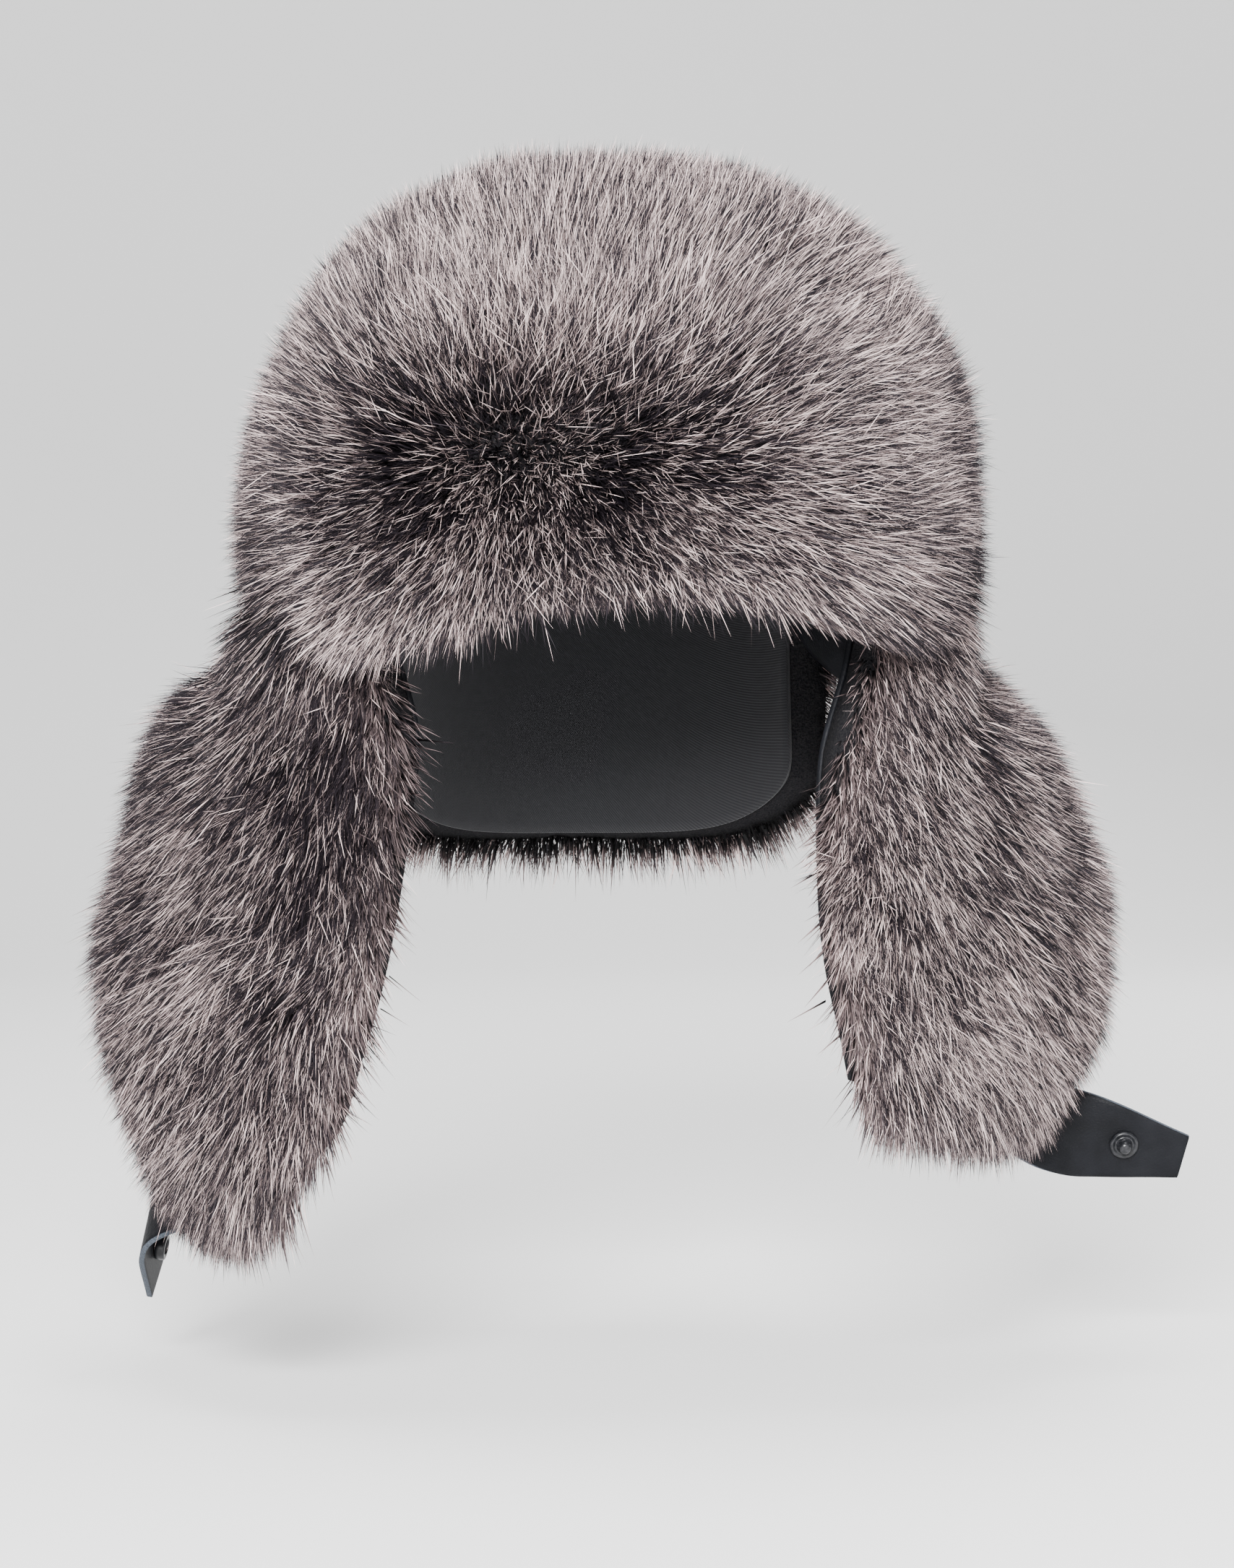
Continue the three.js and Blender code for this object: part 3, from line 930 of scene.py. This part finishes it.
    def reach_of(self, roots: Array, normals: Array, near: Array, outward: Array) -> Array:
        """The way from each root to its hair's tip, before the tufts draw together.

        Args:
            roots: the roots.
            normals: the hide's normals there.
            near: 1 at a free edge, falling to 0 at its reach.
            outward: the way over the edge.

        Returns:
            The vectors, as long as the hair.
        """
        number = len(roots)
        way = unit(flatten(self.flow(roots, normals), normals))
        side = np.cross(normals, way)
        stray = self.disorder(roots)
        swing = sum(ripple.over(roots, self.seed) for ripple in self.SWINGS)
        swing += self.chance.normal(0.0, 1.0, number) * stray
        way = way * np.cos(swing)[:, None] + side * np.sin(swing)[:, None]
        lean = self.lean(roots) * (1.0 + self.LEANING.over(roots, self.seed))
        lean = np.clip(lean + self.chance.normal(0.0, self.LEAN_STRAY, number) * stray, *self.LEAN_RANGE)
        over = near * self.edge_turn * self.chance.uniform(*self.EDGE_TURNS, number)
        kept = 1.0 - near * (1.0 - self.edge_lean)
        tilt = way * (lean * kept)[:, None] + flatten(outward, normals) * over[:, None]
        tilt += flatten(self.sway(roots), normals) * (1.0 - near)[:, None]
        angle = np.linalg.norm(tilt, axis=1)
        direction = normals * np.cos(angle)[:, None] + unit(tilt) * np.sin(angle)[:, None]
        upright = self.hide + self.pile * self.fullness(roots)
        length = upright / np.power(np.cos(np.minimum(lean, 1.0)), self.LEAN_GROWTH)
        length *= 1.0 - near * (1.0 - self.length_at_edge(roots))
        length *= 1.0 + self.LENGTHS.over(roots, self.seed)
        return direction * length[:, None]

    def grow(self, kind: Strand, count: int, tufts: KDTree, into: HairMesh) -> None:
        """Grows hair of one kind.

        Args:
            kind: the kind of hair.
            count: how many hairs.
            tufts: the middles of the tufts, on the hide.
            into: where the strands go.
        """
        roots, normals = self.surface.scatter(count, self.chance, self.favour)
        bare = self.covered(roots) > 0.5
        roots, normals = roots[~bare], normals[~bare]
        number = len(roots)
        near, outward = self.edge(roots)
        reach = self.reach_of(roots, normals, near, outward) * self.chance.uniform(*kind.reach, (number, 1))
        tuft = np.array([tufts.find(root)[1] for root in roots])
        members = np.maximum(np.bincount(tuft), 1)
        tip = roots + reach
        centre = np.stack([np.bincount(tuft, tip[:, axis]) / members for axis in range(3)], axis=1)[tuft]
        pull = self.clumping(roots) * self.chance.uniform(*self.DRAW_IN, number)
        reach = reach + flatten((centre - tip) * pull[:, None], unit(reach))
        length = np.linalg.norm(reach, axis=1, keepdims=True)
        bow = (normals * length - reach) * self.BOW

        def at(share: float) -> Array:
            """The strands' points at a share of their length."""
            return roots + reach * share + bow * (4.0 * share * (1.0 - share))

        start = self.wool - self.SUNK
        base, bend, tip = at(start), at(start + (1.0 - start) * 0.5), at(1.0)
        bend = bend + self.chance.normal(0.0, self.BEND_STRAY, bend.shape)
        tip = tip + self.chance.normal(0.0, self.TIP_STRAY, tip.shape)
        across = unit(np.cross(tip - base, self.chance.normal(size=tip.shape))) * (kind.width * 0.5)
        across *= self.chance.uniform(*self.THICKNESS, (number, 1))
        # The brightness carries the fur's own patches into each hair's tone and banding, and on the cap it
        # carries painted light and shade as well.
        tuft_light = np.random.default_rng(self.seed + 5).normal(size=members.size)[tuft]
        light = self.brightness(roots) + self.TUFT_LIGHT * tuft_light
        drawn = np.power(self.chance.random(number), np.exp2(-self.TONE_PULL * light))
        darkest, lightest = kind.tone
        tone = np.maximum(darkest + (lightest - darkest) * drawn, self.EDGE_TONE * near)
        end = np.clip(0.95 + 0.1 * light + self.chance.normal(0.0, 0.06, number), 0.35, 1.0)
        maps = np.stack([tone, end * (0.25 + 0.2 * near), end * (0.6 + 0.15 * near), end], axis=1)
        if kind.bent:
            into.bent(base, bend, tip, across, maps)
        else:
            into.straight(base, tip, across, maps)

    def hair_name(self) -> str:
        """The name of the hair's piece."""
        return f"{self.node}_hair"

    def build_hair(self, finish: Material) -> bpy.types.Object:
        """Builds all the hair as one piece.

        Args:
            finish: the hair's material.

        Returns:
            The piece.
        """
        number = int(self.surface.areas().sum() / self.tuft**2)
        tufts = tree_of(self.surface.scatter(number, self.chance, self.favour)[0])
        hair = HairMesh()
        share = 1.0
        for kind, count in zip(self.KINDS, self.counts):
            self.grow(kind, int(count * share), tufts, hair)
        name = self.hair_name()
        return piece_from(name, hair.mesh(name, finish), [self.node])

    def build(self, wardrobe: Wardrobe) -> list[bpy.types.Object]:
        """Builds the pelt's pieces."""
        return [self.build_wool(wardrobe.underfur), self.build_hair(wardrobe.fur)]


@dataclass
class CapPelt(Pelt):
    """Fur that turns away from a short parting on the front of the cap.

    Within calm of the parting the hair stands upright and strays more. Painted shade darkens the fur most
    about shade.
    """

    parting: tuple[Place, Place] = (
        (-70.0 * MM, -88.0 * MM, 30.0 * MM),
        (-4.0 * MM, -108.0 * MM, 28.0 * MM),
    )
    calm: float = 34.0 * MM
    patch_seed: int = 1826
    # The middle of the painted shade, where the pile is seen end-on.
    shade: Place = (-62.0 * MM, -90.0 * MM, 28.0 * MM)

    PARTING_WEIGHT = np.array([0.7, 1.0, 1.3])
    SHADE_WEIGHT = np.array([1.0, 0.0, 1.6])
    SHADE_REACH = 30.0 * MM
    LINE_REACH = 12.0 * MM
    SWAY = np.array([0.26, 0.0, -0.36])
    SWAY_REACH = 26.0 * MM
    HIGH = (44.0 * MM, 62.0 * MM)
    LOW = (0.0, 45.0 * MM)
    BESIDE = (45.0 * MM, 85.0 * MM)
    SIDE_MEAN = 1.2

    def from_parting(self, points: Array) -> Array:
        """The way from the parting.

        Args:
            points: the points.

        Returns:
            The vectors from the nearest places of the parting.
        """
        start, end = np.array(self.parting)
        run = end - start
        share = np.clip((points - start) @ run / (run @ run), 0.0, 1.0)
        return points - start - share[:, None] * run

    def distance(self, points: Array) -> Array:
        """The distance from the parting, in which up and down counts for more than across."""
        return np.linalg.norm(self.from_parting(points) * self.PARTING_WEIGHT, axis=1)

    def flow(self, points: Array, normals: Array) -> Array:
        """Away from the parting, and down the back of the cap.

        Args:
            points: roots.
            normals: the hide's normals there.

        Returns:
            The ways, in space.
        """
        middle = np.mean(self.parting, axis=0)
        away = unit(unit(self.from_parting(points)) + 0.7 * unit(points - middle))
        back = ease(points[:, 1], -40.0 * MM, 90.0 * MM)
        return away - UP * (0.9 * back)[:, None]

    def lean(self, points: Array) -> Array:
        """Upright at the parting, and leaning farther off."""
        high = 1.0 - 0.4 * ease(points[:, 2], 60.0 * MM, 100.0 * MM)
        return self.lift * high * ease(self.distance(points), 0.1 * self.calm, self.calm)

    def sway(self, points: Array) -> Array:
        """Down and towards the middle near the parting, so that its hair stands forwards."""
        return fade(self.distance(points), self.SWAY_REACH)[:, None] * self.SWAY

    def disorder(self, points: Array) -> Array:
        """Strongest at the parting."""
        return 0.9 - 0.55 * ease(self.distance(points), 0.15 * self.calm, 1.2 * self.calm)

    def clumping(self, points: Array) -> Array:
        """Strong at the parting, and weak farther off."""
        return 0.4 - 0.26 * ease(self.distance(points), 0.3 * self.calm, self.calm)

    def fullness(self, points: Array) -> Array:
        """A little longer on the top of the cap."""
        return 1.0 + 0.12 * ease(points[:, 2], 60.0 * MM, 105.0 * MM)

    def brightness(self, points: Array) -> Array:
        """Painted light and shade over the fur's own patches: lighter high on the cap, as light falls from
        above, and painted shade about the shade, along the parting and at the sides.

        Args:
            points: the points.

        Returns:
            How light the fur is. Of the two sides, the left one, away from the key light, gets the deeper
            painted shade.
        """
        spread = np.linalg.norm((points - np.array(self.shade)) * self.SHADE_WEIGHT, axis=1)
        line = self.distance(points)
        high = ease(points[:, 2], *self.HIGH)
        low = 1.0 - ease(points[:, 2], *self.LOW)
        beside = ease(np.abs(points[:, 0]), *self.BESIDE)
        side = self.SIDE_MEAN + np.sign(points[:, 0])
        # Painted shade: about the shade, along the parting, and at the sides, deepest low down and on the
        # left.
        shaded = 0.22 * fade(spread, self.SHADE_REACH) + 0.05 * fade(line, self.LINE_REACH)
        shaded += beside * (0.35 + 0.25 * low) * side
        # Painted light: lighter high on the cap, where the light from above falls.
        lit = -0.02 + 0.26 * high * (1.0 - 0.5 * beside)
        return lit - shaded + self.patches(points) * (1.0 - 0.3 * high)


@dataclass
class ForeheadFlap(CapPelt):
    """The turned-up flap on the brow."""

    node: str = "forehead_flap_fur"
    edge_reach: float = 28.0 * MM
    edge_turn: float = math.radians(6.0)
    edge_length: float = 0.48
    edge_lean: float = 0.35
    free_below: float = 4.0 * MM


@dataclass
class CrownPelt(CapPelt):
    """The fur of one half of the cap, less what the forehead flap covers."""

    node: str = "crown_fur"
    front: bool = True
    flap: ForeheadFlap | None = None
    free_below: float = -math.inf
    divide: float = 0.0
    hidden_within: float = 4.5 * MM

    def covered(self, points: Array) -> Array:
        """1 behind the forehead flap, and 0 outside it.

        Args:
            points: roots.

        Returns:
            How far the flap covers each.
        """
        tree = BVHTree.FromBMesh(self.flap.form)
        distance = np.array([tree.find_nearest(point)[3] for point in points])
        return 1.0 - ease(distance, self.hidden_within * 0.8, self.hidden_within * 1.5)

    def favour(self, points: Array) -> Array:
        """Hair on this half alone."""
        ahead = points[:, 1] < self.divide
        return (ahead if self.front else ~ahead).astype(float)

    def hair_name(self) -> str:
        """The name of this half's hair."""
        return f"{self.node}_hair_{'front' if self.front else 'back'}"


@dataclass
class EarFlap(Pelt):
    """A hanging flap, whose hair runs down and turns rearwards towards its rear edge.

    fan is how far it turns there, pale makes all its fur lighter, and swell is how much longer its fur
    is high up.
    """

    side: Side = Side.LEFT
    fan: float = 0.2
    lift: float = math.radians(46.0)
    pale: float = 0.0
    swell: float = 0.0

    SWOLLEN = (35.0 * MM, 90.0 * MM)
    LOW = (60.0 * MM, 150.0 * MM)

    def __post_init__(self) -> None:
        """Names the flap's solid and reads its hide."""
        self.node = f"ear_flap_fur_{self.side.value}"
        super().__post_init__()

    def share_back(self, points: Array) -> Array:
        """0 at the front edge and 1 at the rear edge."""
        front, rear = self.surface.points[:, 1].min(), self.surface.points[:, 1].max()
        return (points[:, 1] - front) / (rear - front)

    def length_at_edge(self, points: Array) -> Array:
        """Short at the front edge, and long behind."""
        return 0.5 + 0.36 * self.share_back(points)

    def fullness(self, points: Array) -> Array:
        """Longer just below the cap."""
        return 1.0 + self.swell * (1.0 - ease(-points[:, 2], *self.SWOLLEN))

    def flow(self, points: Array, normals: Array) -> Array:
        """Down, turning towards the rear edge."""
        rearward = np.cross(UP, normals) * self.side.sign
        return -UP + rearward * (self.fan * self.share_back(points))[:, None]

    def brightness(self, points: Array) -> Array:
        """Darker high up and behind, and lighter low and in front.

        Args:
            points: the points.

        Returns:
            How light the fur is.
        """
        low = ease(-points[:, 2], *self.LOW)
        ahead = 1.0 - self.share_back(points)
        return -0.46 + 0.11 * ahead + low * (0.15 + 0.33 * ahead) + self.pale + self.patches(points)


@dataclass
class NapeFlap(Pelt):
    """The short flap over the nape."""

    node: str = "nape_flap_fur"
    pile: float = 27.0 * MM
    edge_reach: float = 20.0 * MM

    def flow(self, points: Array, normals: Array) -> Array:
        """Straight down."""
        return np.tile(-UP, (len(points), 1))


@dataclass
class Panel:
    """A lining, a tab or a snap half: a solid's own form with its edges rounded and smoothed.

    Turns of more than SHARP stay creased and part its faces. A face with less than NARROW of the
    largest one's area is one of its edges.
    """

    node: str
    slot: str
    levels: int = 2
    crease: float = 0.82

    FLAT = math.radians(20.0)
    SKEW = math.radians(60.0)
    SHARP = math.radians(55.0)
    NARROW = 0.2

    def build(self, face: Material, edge: Material) -> bpy.types.Object:
        """Builds the piece.

        Args:
            face: the finish of its two broad faces.
            edge: the finish of its edges.

        Returns:
            The piece.
        """
        form = merged_copy(self.node)
        bmesh.ops.join_triangles(
            form, faces=form.faces, angle_face_threshold=self.FLAT, angle_shape_threshold=self.SKEW
        )
        creases = form.edges.layers.float.new("crease_edge")
        left = set(form.faces)
        patches = []
        while left:
            patch = smooth_patch(next(iter(left)), self.SHARP)
            patches.append(patch)
            left -= patch
        areas = [sum(item.calc_area() for item in patch) for patch in patches]
        for patch, area in zip(patches, areas):
            if area < self.NARROW * max(areas):
                for item in patch:
                    item.material_index = 1
        for item in form.edges:
            if item.calc_face_angle(0.0) > self.SHARP:
                item[creases] = self.crease
        name = f"{self.node}_piece"
        piece = piece_from(name, mesh_of(form, name, face, edge), [self.node])
        smooth = piece.modifiers.new("smooth", "SUBSURF")
        smooth.levels = self.levels
        smooth.render_levels = self.levels
        return piece


@dataclass
class Hat:
    """The whole hat."""

    wardrobe: Wardrobe

    def build_fur(self) -> None:
        """Builds the pelts."""
        brow = ForeheadFlap(counts=(24000, 40000, 60000), seed=3)
        front = CrownPelt(counts=(32000, 52000, 80000), seed=7, flap=brow)
        back = CrownPelt(counts=(22000, 36000, 54000), seed=8, flap=brow, front=False)
        brow.build(self.wardrobe)
        front.build(self.wardrobe)
        back.build_hair(self.wardrobe.fur)
        for side, pale, swell, seed in ((Side.LEFT, 0.05, 0.0, 20), (Side.RIGHT, -0.26, 0.2, 21)):
            counts = (28000, 46000, 70000)
            EarFlap(counts=counts, side=side, seed=seed, pale=pale, swell=swell).build(self.wardrobe)
        NapeFlap(counts=(7000, 11000, 17000), seed=31).build(self.wardrobe)

    def build_panels(self) -> None:
        """Builds the linings, the tabs and the snap."""
        finishes = self.wardrobe
        for side in Side:
            Panel(f"ear_flap_lining_{side.value}", "leather").build(finishes.leather, finishes.leather)
            Panel(f"snap_tab_{side.value}", "leather").build(finishes.leather, finishes.cut_edge)
        Panel("crown_lining", "lining_cloth", levels=1).build(finishes.cloth, finishes.cloth)
        Panel("nape_flap_lining", "lining_cloth").build(finishes.cloth, finishes.cloth)
        for half in ("snap_stud", "snap_socket"):
            Panel(half, "snap_metal", crease=0.5).build(finishes.snap, finishes.snap)

    def build(self) -> None:
        """Builds everything."""
        self.build_panels()
        self.build_fur()


@dataclass
class Studio:
    """The pale sheet, the soft lights and the camera."""

    azimuth: float = math.radians(-5.0)
    elevation: float = math.radians(2.0)
    distance: float = 1.5
    lens: float = 104.5
    aim: Place = (3.0 * MM, 0.0, -65.0 * MM)
    floor_height: float = -0.262
    room_light: float = 0.5

    def build_camera(self) -> None:
        """Places the camera as the photograph was taken."""
        data = bpy.data.cameras.new("camera")
        data.lens = self.lens
        data.sensor_width = 36.0
        camera = in_scene("camera", data)
        flat = math.cos(self.elevation)
        across, ahead = math.sin(self.azimuth) * flat, -math.cos(self.azimuth) * flat
        back = Vector((across, ahead, math.sin(self.elevation)))
        camera.location = Vector(self.aim) + back * self.distance
        camera.rotation_euler = (-back).to_track_quat("-Z", "Y").to_euler()
        bpy.context.scene.camera = camera

    def build_floor(self, paper: Material) -> None:
        """Lays the pale sheet, which curves up behind the hat.

        Args:
            paper: its material.
        """
        form = bmesh.new()
        width, depth, rise, bend, steps = 6.0, 3.0, 4.0, 1.2, 12
        profile = [(-depth, 0.0), (depth - bend, 0.0)]
        profile += [
            (depth - bend + bend * math.sin(turn), bend - bend * math.cos(turn))
            for turn in np.linspace(0.0, math.pi / 2.0, steps + 1)[1:]
        ]
        profile.append((depth, rise))
        line = [form.verts.new((-width / 2.0, y, z + self.floor_height)) for y, z in profile]
        edges = [form.edges.new(pair) for pair in zip(line, line[1:])]
        swept = bmesh.ops.extrude_edge_only(form, edges=edges)["geom"]
        moved = [item for item in swept if isinstance(item, bmesh.types.BMVert)]
        bmesh.ops.translate(form, verts=moved, vec=(width, 0.0, 0.0))
        in_scene("floor", mesh_of(form, "floor", paper))

    def build_lights(self) -> None:
        """Hangs the soft lights and sets the room's own light."""
        world = bpy.data.worlds.new("room")
        world.use_nodes = True
        air = world.node_tree.nodes["Background"].inputs
        air["Color"].default_value = (1.0, 1.0, 1.0, 1.0)
        air["Strength"].default_value = self.room_light
        bpy.context.scene.world = world
        for name, place, size, power in (
            ("key", (-0.4, -2.0, 0.7), 0.7, 155.0),
            ("fill", (1.0, -1.7, 0.3), 1.2, 12.0),
            ("top", (0.0, -0.1, 1.7), 1.0, 30.0),
            ("rim", (0.8, 1.6, 1.0), 1.0, 26.0),
        ):
            data = bpy.data.lights.new(name, "AREA")
            data.size = size
            data.energy = power
            light = in_scene(name, data)
            light.location = place
            light.rotation_euler = (Vector(self.aim) - Vector(place)).to_track_quat("-Z", "Y").to_euler()

    def build(self, wardrobe: Wardrobe) -> None:
        """Builds the studio.

        Args:
            wardrobe: the finishes.
        """
        self.build_camera()
        self.build_floor(wardrobe.paper)
        self.build_lights()


def main() -> None:
    """Builds the hat and the studio."""
    logging.basicConfig(level=logging.INFO, format="%(name)s: %(message)s")
    wardrobe = Wardrobe()
    Studio().build(wardrobe)
    Hat(wardrobe).build()


if __name__ == "__main__":
    main()
